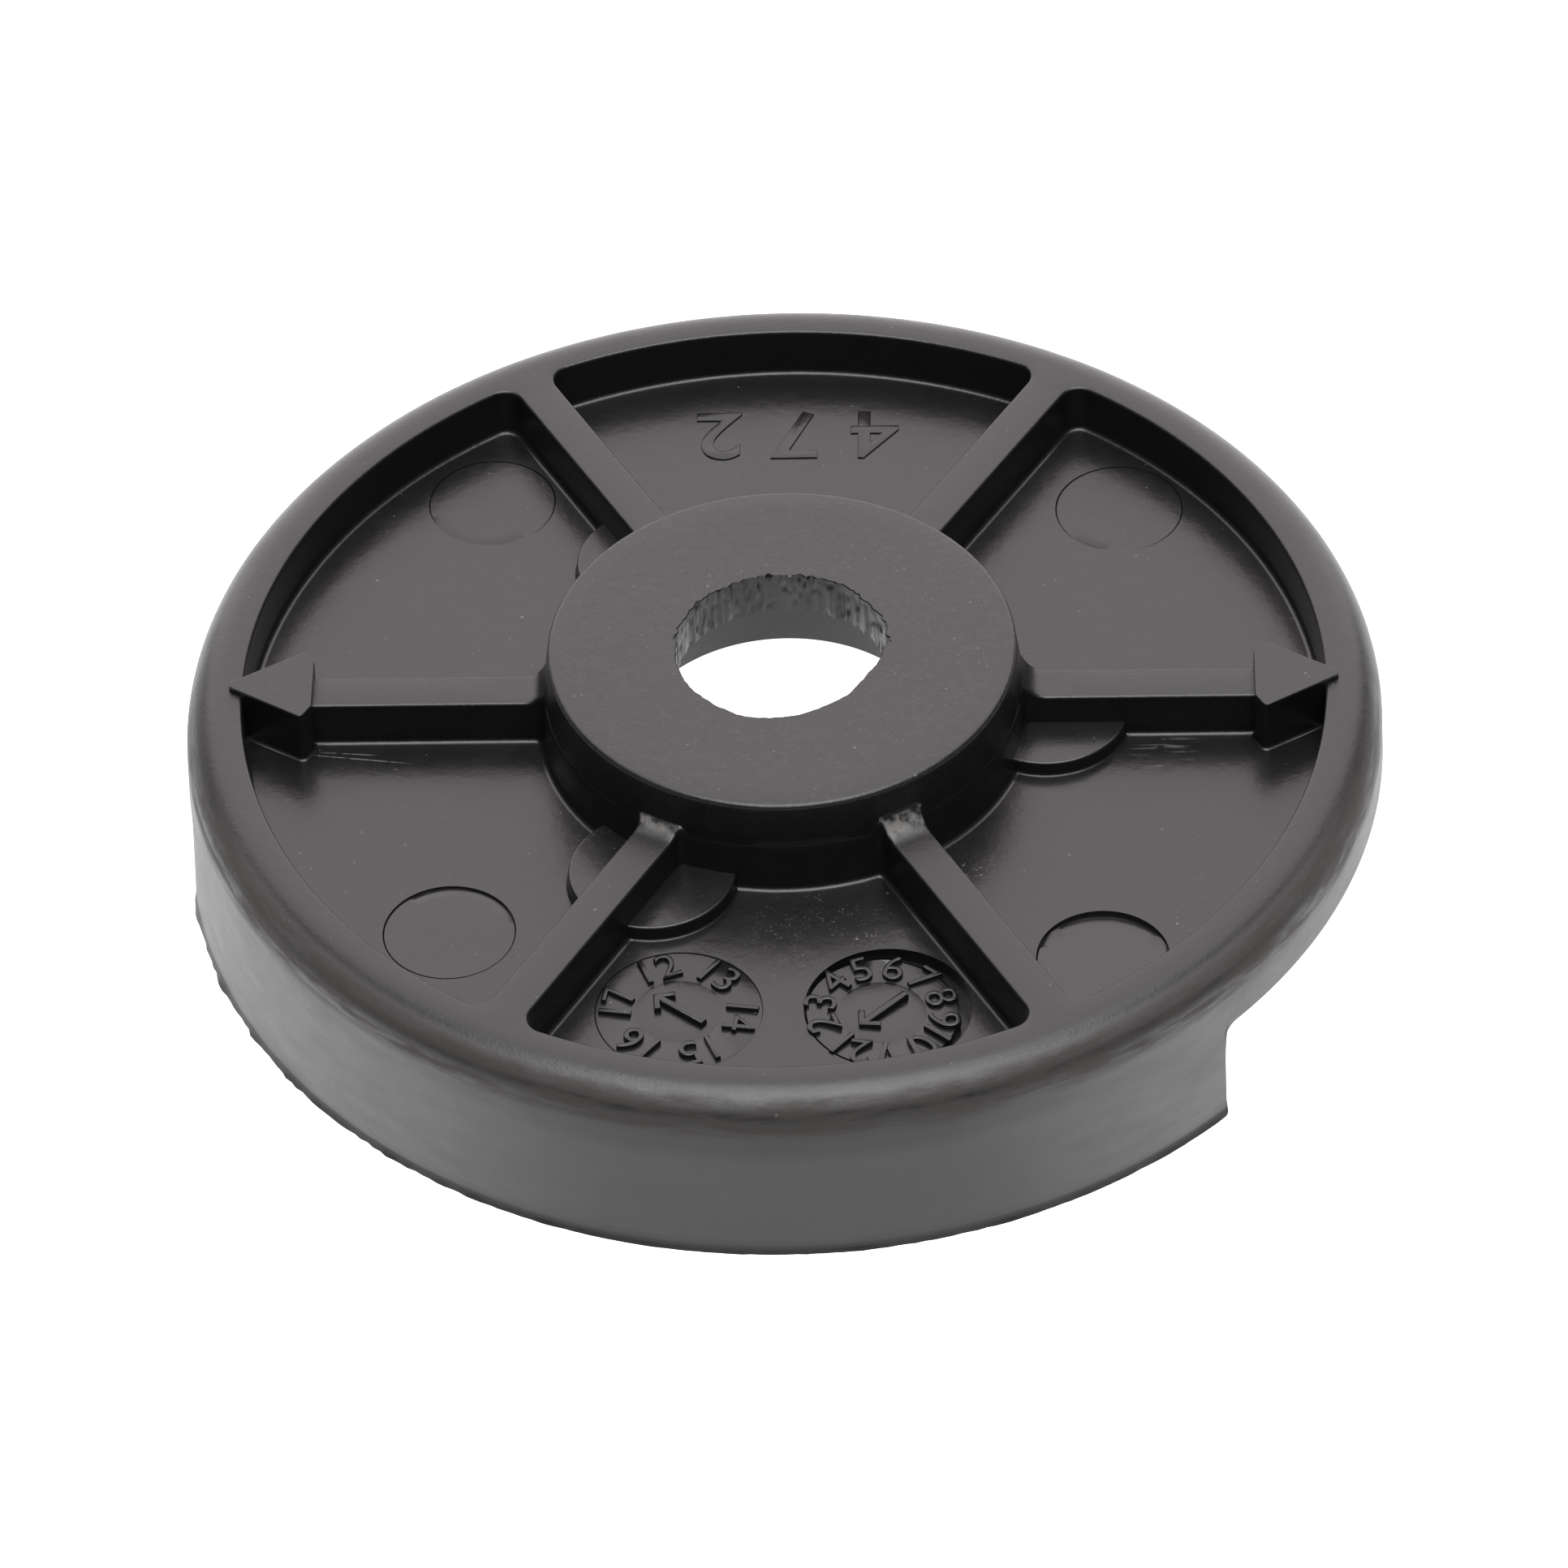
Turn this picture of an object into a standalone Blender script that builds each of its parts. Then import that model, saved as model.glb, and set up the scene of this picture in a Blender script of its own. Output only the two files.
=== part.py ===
"""A pointer disc moulded in one piece: a ribbed wheel with a two-headed arrow across its face.

The disc stands on its two skirt segments, with its ribbed face up. +Z is the bore's axis and +X
runs along the arrow. Units are metres.
"""

import math

import bmesh
import bpy

MM = 0.001

# Heights above the surface that the skirt stands on
PLATE_BOTTOM_Z = 3.3 * MM
RIM_BOTTOM_Z = 3.45 * MM
FLOOR_Z = 4.25 * MM
SEAT_Z = 5.9 * MM
RIM_TOP_Z = 5.9 * MM
HUB_TOP_Z = 7.4 * MM

# Radii of the turned body
BORE_RADIUS = 3.3 * MM
SEAT_RADIUS = 4.8 * MM
HUB_RADIUS = 7.14 * MM
HUB_FOOT_RADIUS = 7.4 * MM
SKIRT_INNER_RADIUS = 16.9 * MM
RIM_INNER_RADIUS = 16.5 * MM
RIM_RADIUS = 18.25 * MM
SKIRT_FOOT_RADIUS = 18.5 * MM
HUB_EDGE = 0.15 * MM
RIM_ROUND = 1.25 * MM

# Ribs stand about every 60 degrees, and the two on the X axis are the arrow's shaft
RIB_ANGLES = (0, 59.2, 119.8, 180, 240.5, 299.5)
RIB_HALF_WIDTH = 0.64 * MM
SHAFT_HALF_WIDTH = 0.66 * MM
SHAFT_TOP_Z = RIM_TOP_Z - 0.15 * MM
SHAFT_RAMP_RADIUS = 7.9 * MM
POCKET_CORNER = 0.6 * MM

# Arrowheads, by distance from the bore's axis
HEAD_TOP_Z = RIM_TOP_Z + 0.18 * MM
HEAD_TIP = 16.9 * MM
HEAD_CORNER = 14.64 * MM
HEAD_BASE = 14.34 * MM
HEAD_HALF_WIDTH = 1.5 * MM
HEAD_BASE_HALF_WIDTH = 1.0 * MM
HEAD_TIP_HALF_WIDTH = 0.12 * MM

# The skirt is open between its two segments
SKIRT_GAPS = ((136, 190), (316, 370))

# Round marks of the mould on the floor: angle, distance, radius
GATE_PAD_ANGLES = (0, 120, 241)
GATE_PAD_DISTANCE = 8.0 * MM
GATE_PAD_RADIUS = 2.53 * MM
GATE_PAD_HEIGHT = 0.5 * MM
PIN_ANGLES = (43, 132, 222.5, 312.5)
PIN_DISTANCE = 14.0 * MM
PIN_RADIUS = 2.0 * MM
PIN_DEPTH = 0.06 * MM
DIAL_ANGLES = (256.6, 284.4)
DIAL_DISTANCE = 12.9 * MM
DIAL_RADIUS = 2.5 * MM
DIAL_DEPTH = 0.1 * MM

SEGMENTS = 96
MARK_SEGMENTS = 40
CLEARANCE = 1.5 * MM
EMBED = 0.4 * MM


def clear_scene():
    for old in list(bpy.data.objects):
        bpy.data.objects.remove(old, do_unlink=True)


def new_collection(name):
    collection = bpy.data.collections.new(name)
    bpy.context.scene.collection.children.link(collection)
    return collection


def acetal():
    """Black acetal with a satin moulded surface."""
    material = bpy.data.materials.new("black_acetal")
    material.use_nodes = True
    shader = material.node_tree.nodes["Principled BSDF"]
    shader.inputs["Base Color"].default_value = (0.03, 0.03, 0.032, 1)
    shader.inputs["Roughness"].default_value = 0.42
    shader.inputs["Metallic"].default_value = 0
    return material


def polar(radius, degrees):
    angle = math.radians(degrees)
    return (radius * math.cos(angle), radius * math.sin(angle))


def arc(centre, radius, start, end, count):
    """Points along a circle, both ends included, from start to end in degrees."""
    points = []
    for i in range(count + 1):
        x, y = polar(radius, start + (end - start) * i / count)
        points.append((centre[0] + x, centre[1] + y))
    return points


def body_profile():
    """Radius and height of the turned body: over its top, down the outside and back up the bore."""
    profile = [
        (BORE_RADIUS, HUB_TOP_Z),
        (HUB_RADIUS - HUB_EDGE, HUB_TOP_Z),
        (HUB_RADIUS, HUB_TOP_Z - HUB_EDGE),
        (HUB_FOOT_RADIUS - 0.1 * MM, RIM_TOP_Z),
    ]
    rim_centre = (RIM_RADIUS - RIM_ROUND, RIM_TOP_Z - RIM_ROUND)
    profile += arc(rim_centre, RIM_ROUND, 90, 0, 6)
    profile += [
        (SKIRT_FOOT_RADIUS, 0),
        (SKIRT_INNER_RADIUS, 0),
        (SKIRT_INNER_RADIUS, PLATE_BOTTOM_Z),
        (SEAT_RADIUS, PLATE_BOTTOM_Z),
        (SEAT_RADIUS, SEAT_Z),
        (BORE_RADIUS, SEAT_Z),
    ]
    return profile


def turned_body(name, collection):
    """The wheel before its pockets are cut: one closed profile swept about the bore's axis."""
    mesh = bpy.data.meshes.new(name)
    profile = body_profile()
    count = len(profile)
    edges = [(i, (i + 1) % count) for i in range(count)]
    mesh.from_pydata([(r, 0, z) for r, z in profile], edges, [])
    body = bpy.data.objects.new(name, mesh)
    collection.objects.link(body)
    screw = body.modifiers.new("turned", "SCREW")
    screw.steps = SEGMENTS
    screw.render_steps = SEGMENTS
    screw.use_merge_vertices = True
    screw.merge_threshold = 1e-6
    screw.use_smooth_shade = True
    return body


def pocket_outline(start, end, start_half, end_half):
    """A pocket between the ribs at two angles, with round corners where the ribs meet the rim."""
    reach = RIM_INNER_RADIUS - POCKET_CORNER
    start_turn = math.degrees(math.asin((start_half + POCKET_CORNER) / reach))
    end_turn = math.degrees(math.asin((end_half + POCKET_CORNER) / reach))
    start_foot = math.degrees(math.asin(start_half / HUB_FOOT_RADIUS))
    end_foot = math.degrees(math.asin(end_half / HUB_FOOT_RADIUS))
    first = polar(reach, start + start_turn)
    last = polar(reach, end - end_turn)
    points = arc(first, POCKET_CORNER, start - 90, start + start_turn, 6)
    points += arc((0, 0), RIM_INNER_RADIUS, start + start_turn, end - end_turn, 14)[1:-1]
    points += arc(last, POCKET_CORNER, end - end_turn, end + 90, 6)
    points += arc((0, 0), HUB_FOOT_RADIUS, end - end_foot, start + start_foot, 12)
    return points


def sector_outline(inner, outer, start, end):
    """A stretch of ring between two angles."""
    count = math.ceil((end - start) / 3.75)
    return arc((0, 0), outer, start, end, count) + arc((0, 0), inner, end, start, count)


def head_outline():
    """An arrowhead that points along +X, with clipped rear corners and a blunt tip."""
    side = [
        (HEAD_BASE, -HEAD_BASE_HALF_WIDTH),
        (HEAD_CORNER, -HEAD_HALF_WIDTH),
        (HEAD_TIP, -HEAD_TIP_HALF_WIDTH),
    ]
    return side + [(x, -y) for x, y in reversed(side)]


def box_outline(low_x, high_x, half_width):
    return [(low_x, -half_width), (high_x, -half_width), (high_x, half_width), (low_x, half_width)]


def prism(name, outline, low, high, collection, turn=0):
    """A flat outline raised from one height to another, as a closed mesh turned about the bore's axis."""
    curve = bpy.data.curves.new(name, "CURVE")
    curve.dimensions = "2D"
    curve.fill_mode = "BOTH"
    curve.extrude = (high - low) / 2
    spline = curve.splines.new("POLY")
    spline.points.add(len(outline) - 1)
    for point, (x, y) in zip(spline.points, outline):
        point.co = (x, y, 0, 1)
    spline.use_cyclic_u = True
    flat = bpy.data.objects.new(name + "_outline", curve)
    collection.objects.link(flat)
    graph = bpy.context.evaluated_depsgraph_get()
    mesh = bpy.data.meshes.new_from_object(flat.evaluated_get(graph))
    bpy.data.objects.remove(flat, do_unlink=True)
    work = bmesh.new()
    work.from_mesh(mesh)
    bmesh.ops.remove_doubles(work, verts=work.verts, dist=1e-7)
    bmesh.ops.recalc_face_normals(work, faces=work.faces)
    work.to_mesh(mesh)
    work.free()
    solid = bpy.data.objects.new(name, mesh)
    solid.location.z = (low + high) / 2
    solid.rotation_euler.z = math.radians(turn)
    collection.objects.link(solid)
    return as_guide(solid)


def disc(name, radius, low, high, collection, distance, degrees):
    """A short cylinder at a distance and an angle from the bore's axis."""
    work = bmesh.new()
    bmesh.ops.create_cone(
        work,
        cap_ends=True,
        segments=MARK_SEGMENTS,
        radius1=radius,
        radius2=radius,
        depth=high - low,
    )
    mesh = bpy.data.meshes.new(name)
    work.to_mesh(mesh)
    work.free()
    solid = bpy.data.objects.new(name, mesh)
    solid.location = (*polar(distance, degrees), (low + high) / 2)
    solid.rotation_euler.z = math.radians(degrees)
    collection.objects.link(solid)
    return as_guide(solid)


def as_guide(solid):
    solid.hide_render = True
    solid.display_type = "WIRE"
    return solid


def apply_to(body, solid, operation):
    boolean = body.modifiers.new(solid.name, "BOOLEAN")
    boolean.solver = "EXACT"
    boolean.operation = operation
    boolean.object = solid


def half_width(angle):
    return SHAFT_HALF_WIDTH if angle % 180 == 0 else RIB_HALF_WIDTH


def cut_pockets(body, cutters):
    ends = RIB_ANGLES[1:] + (360,)
    for number, (start, end) in enumerate(zip(RIB_ANGLES, ends), 1):
        outline = pocket_outline(start, end, half_width(start), half_width(end))
        pocket = prism(f"pocket_{number}", outline, FLOOR_Z, RIM_TOP_Z + CLEARANCE, cutters)
        apply_to(body, pocket, "DIFFERENCE")


def cut_skirt_gaps(body, cutters):
    for start, end in SKIRT_GAPS:
        outline = sector_outline(RIM_INNER_RADIUS, SKIRT_FOOT_RADIUS + CLEARANCE, start, end)
        gap = prism(f"skirt_gap_{start}", outline, -CLEARANCE, RIM_BOTTOM_Z, cutters)
        apply_to(body, gap, "DIFFERENCE")


def add_arrow(body, cutters):
    """Lowers the shaft a little below the rim and sets a raised head on each of its ends."""
    for angle in (0, 180):
        shaft = box_outline(SHAFT_RAMP_RADIUS, HEAD_BASE + EMBED, 2 * SHAFT_HALF_WIDTH)
        trim = prism(f"shaft_trim_{angle}", shaft, SHAFT_TOP_Z, HUB_TOP_Z, cutters, angle)
        apply_to(body, trim, "DIFFERENCE")
    for angle in (0, 180):
        head = prism(f"arrowhead_{angle}", head_outline(), FLOOR_Z - EMBED, HEAD_TOP_Z, cutters, angle)
        apply_to(body, head, "UNION")


def add_marks(body, cutters):
    """Gate pads stand up from the floor. Ejector pins and date dials leave shallow round recesses."""
    pad_top = FLOOR_Z + GATE_PAD_HEIGHT
    for angle in GATE_PAD_ANGLES:
        place = (cutters, GATE_PAD_DISTANCE, angle)
        pad = disc(f"gate_pad_{angle}", GATE_PAD_RADIUS, FLOOR_Z - EMBED, pad_top, *place)
        apply_to(body, pad, "UNION")
    for angle in PIN_ANGLES:
        place = (cutters, PIN_DISTANCE, angle)
        mark = disc(f"pin_mark_{angle}", PIN_RADIUS, FLOOR_Z - PIN_DEPTH, HUB_TOP_Z, *place)
        apply_to(body, mark, "DIFFERENCE")
    for number, angle in enumerate(DIAL_ANGLES, 1):
        place = (cutters, DIAL_DISTANCE, angle)
        dial = disc(f"date_dial_{number}", DIAL_RADIUS, FLOOR_Z - DIAL_DEPTH, HUB_TOP_Z, *place)
        apply_to(body, dial, "DIFFERENCE")


def main():
    clear_scene()
    parts = new_collection("pointer_disc")
    cutters = new_collection("cutters")
    body = turned_body("disc", parts)
    cut_pockets(body, cutters)
    cut_skirt_gaps(body, cutters)
    add_arrow(body, cutters)
    add_marks(body, cutters)
    body.data.materials.append(acetal())


main()
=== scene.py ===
"""Looks of the pointer disc: one black acetal moulding, with its edge rounds, fillets and mould marks.

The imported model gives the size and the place. Lengths below are in millimetres, and MM turns them
into metres. +Z is the bore's axis and +X runs along the arrow. Angles are in degrees from +X.
"""

import math

import bmesh
import bpy
from mathutils import Matrix, Vector, noise
from mathutils.geometry import delaunay_2d_cdt


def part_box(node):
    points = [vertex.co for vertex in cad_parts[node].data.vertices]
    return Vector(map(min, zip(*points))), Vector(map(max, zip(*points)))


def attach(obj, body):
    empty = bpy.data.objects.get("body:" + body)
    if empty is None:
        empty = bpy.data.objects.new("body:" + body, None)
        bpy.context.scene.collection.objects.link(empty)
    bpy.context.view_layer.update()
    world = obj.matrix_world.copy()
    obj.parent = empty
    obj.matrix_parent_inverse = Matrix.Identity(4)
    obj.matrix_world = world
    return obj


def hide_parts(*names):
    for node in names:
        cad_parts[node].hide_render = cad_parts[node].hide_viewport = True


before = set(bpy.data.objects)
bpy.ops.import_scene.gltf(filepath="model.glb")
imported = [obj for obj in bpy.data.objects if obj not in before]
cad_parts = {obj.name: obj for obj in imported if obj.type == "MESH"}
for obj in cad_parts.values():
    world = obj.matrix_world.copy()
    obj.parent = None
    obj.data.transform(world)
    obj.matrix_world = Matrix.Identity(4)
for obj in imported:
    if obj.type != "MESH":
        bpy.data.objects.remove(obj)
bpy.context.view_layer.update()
LOW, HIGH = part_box("disc")
MM = 0.001

# Heights, from the surface that the skirt stands on up to the hub's face
HUB_TOP_Z = HIGH.z / MM
RIM_TOP_Z = HUB_TOP_Z - 1.5
SHAFT_TOP_Z = RIM_TOP_Z - 0.16
HEAD_TOP_Z = RIM_TOP_Z + 0.18
FLOOR_Z = RIM_TOP_Z - 1.65
SEAT_Z = RIM_TOP_Z
RIM_BOTTOM_Z = 3.45
PLATE_BOTTOM_Z = 3.3

# Radii of the turned body
SKIRT_FOOT_RADIUS = HIGH.y / MM
RIM_RADIUS = SKIRT_FOOT_RADIUS - 0.25
WALL_FOOT_RADIUS = SKIRT_FOOT_RADIUS - 0.09
RIM_INNER_RADIUS = 16.5
SKIRT_INNER_RADIUS = 16.9
HUB_RADIUS = 7.14
HUB_SHOULDER_RADIUS = 7.27
HUB_LEDGE_RADIUS = HUB_SHOULDER_RADIUS + 0.005
HUB_FOOT_RADIUS = 7.4
SEAT_RADIUS = 4.8
BORE_RADIUS = 3.3

# Rounds and fillets
RIM_ROUND = 1.25
HUB_EDGE = 0.17
BORE_LIP = 0.03
SEAT_EDGE = 0.06
SEAT_FILLET = 0.2
EDGE_ROUND = 0.11
WALL_DRAFT = 0.03
FOOT_FILLET = 0.16
POCKET_CORNER = 0.6
HUB_CORNER = 0.3
SHAFT_CORNER = 0.3
# How far the hub's side leans out in a pocket, along the top edge's round and below it
HUB_EDGE_LEAN = 0.03
HUB_SIDE_LEAN = 0.07
# A flat margin inside the foot fillet, which keeps the floor's shading flat
FLOOR_MARGIN = 0.015

# Ribs, and the two on the X axis that are the arrow's shaft
RIB_ANGLES = (0, 59.2, 119.8, 180, 240.5, 299.5)
NEXT_RIBS = RIB_ANGLES[1:] + (360,)
RIB_HALF_WIDTH = 0.64
SHAFT_HALF_WIDTH = 0.66
SHAFT_END_HALF_WIDTH = 0.15
SHAFT_TAPER_START = 14.6
# How far each rib's climb to the hub reaches, and how high it climbs
RAMP_LENGTH = dict(zip(RIB_ANGLES, (0.75, 0.5, 0.5, 0.6, 0.62, 0.8)))
RAMP_RISE = dict(zip(RIB_ANGLES, (0.5, 0.3, 0.3, 0.35, 0.3, 0.55)))
# Beside a rib: how far out its climb fades, and where a shaft's low top does
RAMP_FADE = 0.35
SHAFT_LOW_FADE = (0.25, 0.6)
# Along a shaft: where its low top begins at the hub and ends at the rim
SHAFT_LOW_START = (HUB_RADIUS, HUB_RADIUS + 0.2)
SHAFT_LOW_END = (15.2, 15.8)

# Arrowheads
HEAD_TIP = 16.9
HEAD_CORNER = 14.64
HEAD_BASE = 14.34
HEAD_HALF_WIDTH = 1.5
HEAD_BASE_HALF_WIDTH = 1.0
HEAD_TIP_HALF_WIDTH = 0.12
HEAD_ROUNDS = (0.1, 0.16, 0.1, 0.1, 0.16, 0.1)
HEAD_EDGE = 0.05
HEAD_FOOT_FILLET = 0.12

# The skirt's two segments, between its open gaps
SKIRT_SEGMENTS = ((190, 316), (10, 136))
SKIRT_END_FILLET = 0.5
SKIRT_END_ROUND = 0.15

# Flash along the skirt's foot: how far it juts out, and how much more before these angles
FLASH = 0.05
FLASH_AT_END = 0.12
FLASH_END = (225, 245)
FOOT_FLARE_HEIGHT = 0.22
# The height over which the flash dies out where the skirt's lower edge rises
FLASH_REACH = 0.4

# The dent in the hub's shoulder: depth, angle, and half widths where it is full and where it ends
SHOULDER_DENT = 0.06
SHOULDER_DENT_ANGLE = 275
SHOULDER_DENT_SPREAD = (7, 15)

# Drag marks in the bore: the depths of fine lines, nicks and broad waves, and the flash all around
DRAG_LINES = 0.1
DRAG_NICKS = 0.09
DRAG_WAVES = 0.05
BORE_FLASH = 0.05
# Burrs in the bore: angle, half widths where one is full and where it ends, and height
BURRS = ((331, 4, 20, 0.09), (318, 12, 70, 0.27))

# Mould marks on the floor
PAD_ANGLES = (0, 120, 241)
PAD_DISTANCE = 8.0
PAD_RADIUS = 2.53
PAD_HEIGHT = 0.5
PAD_EDGE = 0.08
PAD_FOOT_FILLET = 0.1
# How far arrowheads and pads reach below the floor before they are united with it
BLOCK_DEPTH = 0.4
PIN_RADIUS = 2.0
# Ejector pins: angle, distance, how deep the face sits, its tilt and the side it leans up to
PINS = (
    (43, 14.2, 0.02, 0.02, 60),
    (132, 13.9, 0.03, 0.03, 70),
    (222.5, 13.45, 0.04, 0.035, 250),
    (312.5, 14.2, 0.1, 0.1, 262),
)
DIAL_RADIUS = 2.5
DIAL_SEAM_RADIUS = 1.32
DIAL_DISTANCE = 12.9
DIAL_LABEL_RADIUS = 1.8
DIAL_LABEL_SIZE = 1.4
LABEL_RELIEF = 0.15
LABEL_EDGE = 0.05
LABEL_BOLDNESS = 0.015
POINTER_LENGTH = 1.95
POINTER_WIDTH = 0.25
POINTER_THICKNESS = 0.23
# Date dials: angle, depth, tilt, the side it leans up to, and how far its insert is off centre
DIALS = ((256.6, 0.02, 0.02, 190, 0), (284.4, 0.13, 0.12, 203, 0.19))
DIAL_GAP_DEPTH = 0.45
DIAL_GAP_WIDTH = 0.03
SEAM_DEPTH = 0.004
SEAM_HALF_WIDTH = 0.015
YEAR_LABELS = ("12", "13", "14", "15", "16", "17")
MONTH_LABELS = [str(month) for month in range(1, 13)]
CAVITY_NUMBER = "472"
NUMBER_PLACE = (13.5, 89)
NUMBER_SIZE = 3.1
NUMBER_STEP = 2.45
NUMBER_THICKNESS = 0.02
NUMBER_BOLDNESS = 0.05

# Points around a turned ring, around a gate pad and around a round mark
COLUMNS = 480
PAD_SIDES = 96
MARK_SIDES = 72
# Edges sharper than this are shaded as edges
SHARP_ANGLE = 35

# The plastic's colours, what lies on it and the light painted onto it, linear, and how strongly each shows
DEEP_BLACK = (0.0048, 0.0045, 0.0047, 1)
SOFT_BLACK = (0.0078, 0.0072, 0.0075, 1)
# Painted reflection of the bright floor: a lighter tone over the wall below the rim's round edge
WALL_PAINTED_REFLECTION = (0.6, (0.03, 0.0288, 0.0295, 1))
# Painted reflection: a stronger lighter tone on the wall's left and right
SIDE_PAINTED_REFLECTION = (0.6, (0.135, 0.13, 0.133, 1))
# Painted highlight: a bright band on the front of the rim's round edge
RIM_EDGE_PAINTED_HIGHLIGHT = (0.9, (0.055, 0.052, 0.053, 1))
FACE_MOTTLE = (0.5, (0.022, 0.019, 0.018, 1))
FACE_SPECKS = (0.35, (0.16, 0.14, 0.13, 1))
GRIME = (0.85, (0.02, 0.016, 0.014, 1))
DUST = (0.3, (0.3, 0.29, 0.28, 1))
SCUFFS = (0.5, (0.2, 0.195, 0.19, 1))
WEAR = (0.9, (0.2, 0.192, 0.185, 1))
ACETAL_ROUGHNESS = 0.37
ACETAL_IOR = 1.48
GRAIN_RELIEF = 0.006
SWELL_RELIEF = 0.008
# Dusty patches and the scuffed one: x, y, radius and softness
DUST_PATCHES = ((1.3, -9.2, 0.6, 2.2), (5.6, -6.9, 0.3, 1.3), (-5.9, -5.3, 0.1, 1.0))
SCUFF_PATCH = (11.6, -1.5, 0.3, 1.1)
# Scratches: x, y, direction, length and width
SCRATCHES = ((-12.9, -1.45, -8, 3.4, 0.035), (-13.3, -1.2, -5, 2, 0.03))

# Light. Softboxes: elevation, azimuth, then distance, width and height in metres, radiance and tint
FLOOR_GLOW = 1.5
DIM_ROOM = 0.035
SOFTBOXES = {
    "back_softbox": (36, 92, 0.5, 0.85, 0.66, 2.5, (1, 0.93, 0.95)),
    "top_softbox": (79, 285, 0.5, 0.44, 0.45, 7, (1, 1, 1)),
}

# The camera: where it stands around the disc, in degrees and millimetres, and what it aims at
CAMERA_AZIMUTH = 272
CAMERA_ELEVATION = 42.43
CAMERA_DISTANCE = 273.75
CAMERA_AIM = (0.08, -4.53)
CAMERA_ROLL = -2.04
CAMERA_LENS = 206.3
CAMERA_SENSOR = 36


def polar(radius, degrees):
    angle = math.radians(degrees)
    return (radius * math.cos(angle), radius * math.sin(angle))


def place(along, across, degrees):
    """A point given along and across a rib that runs out at an angle."""
    angle = math.radians(degrees)
    cos, sin = math.cos(angle), math.sin(angle)
    return (along * cos - across * sin, along * sin + across * cos)


def arc(centre, radius, start, end, count):
    """Points along a circle, both ends included, from start to end."""
    points = []
    for i in range(count + 1):
        x, y = polar(radius, start + (end - start) * i / count)
        points.append((centre[0] + x, centre[1] + y))
    return points


def between(low, high, value):
    """How far value has come from low to high, eased and held to 0 and 1."""
    share = min(max((value - low) / (high - low), 0), 1)
    return share * share * (3 - 2 * share)


def is_shaft(angle):
    return angle % 180 == 0


def half_width(angle):
    return SHAFT_HALF_WIDTH if is_shaft(angle) else RIB_HALF_WIDTH


def kept_triangles(triangles, fences):
    """The triangles an odd number of fences in from the outside."""
    sides = {}
    for number, corners in enumerate(triangles):
        for i in range(3):
            sides.setdefault(frozenset((corners[i], corners[i - 1])), []).append(number)
    levels = {}
    ahead = []
    for side, numbers in sides.items():
        if len(numbers) == 1:
            ahead.append((numbers[0], int(side in fences)))
    while ahead:
        number, level = ahead.pop()
        if number in levels:
            continue
        levels[number] = level
        corners = triangles[number]
        for i in range(3):
            side = frozenset((corners[i], corners[i - 1]))
            ahead += [(n, level ^ (side in fences)) for n in sides[side] if n != number]
    return [corners for number, corners in enumerate(triangles) if levels[number] == 1]


class Skin:
    """Points and faces of one mesh, collected in millimetres."""

    def __init__(self):
        self.points = []
        self.faces = []

    def ring(self, flat, height):
        """Adds points at one height, or at a list of heights, and returns their indexes."""
        heights = height if isinstance(height, list) else [height] * len(flat)
        first = len(self.points)
        self.points += [(x, y, z) for (x, y), z in zip(flat, heights)]
        return list(range(first, len(self.points)))

    def face(self, corners):
        corners = [c for i, c in enumerate(corners) if c not in corners[:i]]
        if len(corners) > 2:
            self.faces.append(corners)

    def band(self, one, other):
        """Joins two closed rings of the same count with a strip of faces."""
        for i in range(len(one)):
            after = (i + 1) % len(one)
            self.face([one[i], one[after], other[after], other[i]])

    def bands(self, rings):
        for one, other in zip(rings, rings[1:]):
            self.band(one, other)

    def fill(self, loops, inner=()):
        """Triangulates the flat region inside the first loop and outside the others."""
        indexes = [i for loop in loops for i in loop] + list(inner)
        flat = [Vector(self.points[i][:2]) for i in indexes]
        edges = []
        first = 0
        for loop in loops:
            count = len(loop)
            edges += [(first + i, first + (i + 1) % count) for i in range(count)]
            first += count
        whole_hull = 0
        result = delaunay_2d_cdt(flat, edges, [], whole_hull, 1e-7, True)
        origins = [indexes[given[0]] for given in result[3]]
        fences = {frozenset((indexes[a], indexes[b])) for a, b in edges}
        self.faces += kept_triangles([[origins[c] for c in face] for face in result[2]], fences)

    def mesh(self, name):
        mesh = bpy.data.meshes.new(name)
        mesh.from_pydata([Vector(p) * MM for p in self.points], [], self.faces)
        work = bmesh.new()
        work.from_mesh(mesh)
        bmesh.ops.remove_doubles(work, verts=work.verts, dist=1e-8)
        bmesh.ops.recalc_face_normals(work, faces=work.faces)
        if work.calc_volume(signed=True) < 0:
            bmesh.ops.reverse_faces(work, faces=work.faces)
        work.to_mesh(mesh)
        work.free()
        return mesh


def rib_side(angle, side, inset, hub_radius):
    """One side of a rib, from the fillet at the hub out to the corner at the rim."""
    corners = (hub_corner(angle, side, inset, hub_radius), rim_corner(angle, side, inset))
    first, last = (math.hypot(*centre) * math.cos(math.radians(turn)) for centre, _, turn in corners)
    half = half_width(angle) + inset
    end_half = SHAFT_END_HALF_WIDTH + inset if is_shaft(angle) else half
    points = []
    steps = 30
    for i in range(steps + 1):
        along = first + (last - first) * (i / steps) ** 1.6
        taper = max(0, (along - SHAFT_TAPER_START) / (last - SHAFT_TAPER_START))
        across = half + (end_half - half) * taper
        points.append(place(along, side * across, angle))
    return points


def rim_corner(angle, side, inset):
    """Centre, radius and turn from the rib of the round corner where a rib meets the rim."""
    if is_shaft(angle):
        radius = SHAFT_CORNER
        half = SHAFT_END_HALF_WIDTH + inset
        reach = RIM_INNER_RADIUS - inset - radius
    else:
        radius = POCKET_CORNER - inset
        half = half_width(angle) + inset
        reach = RIM_INNER_RADIUS - POCKET_CORNER
    turn = math.degrees(math.asin((half + radius) / reach))
    return polar(reach, angle + side * turn), radius, turn


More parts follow.
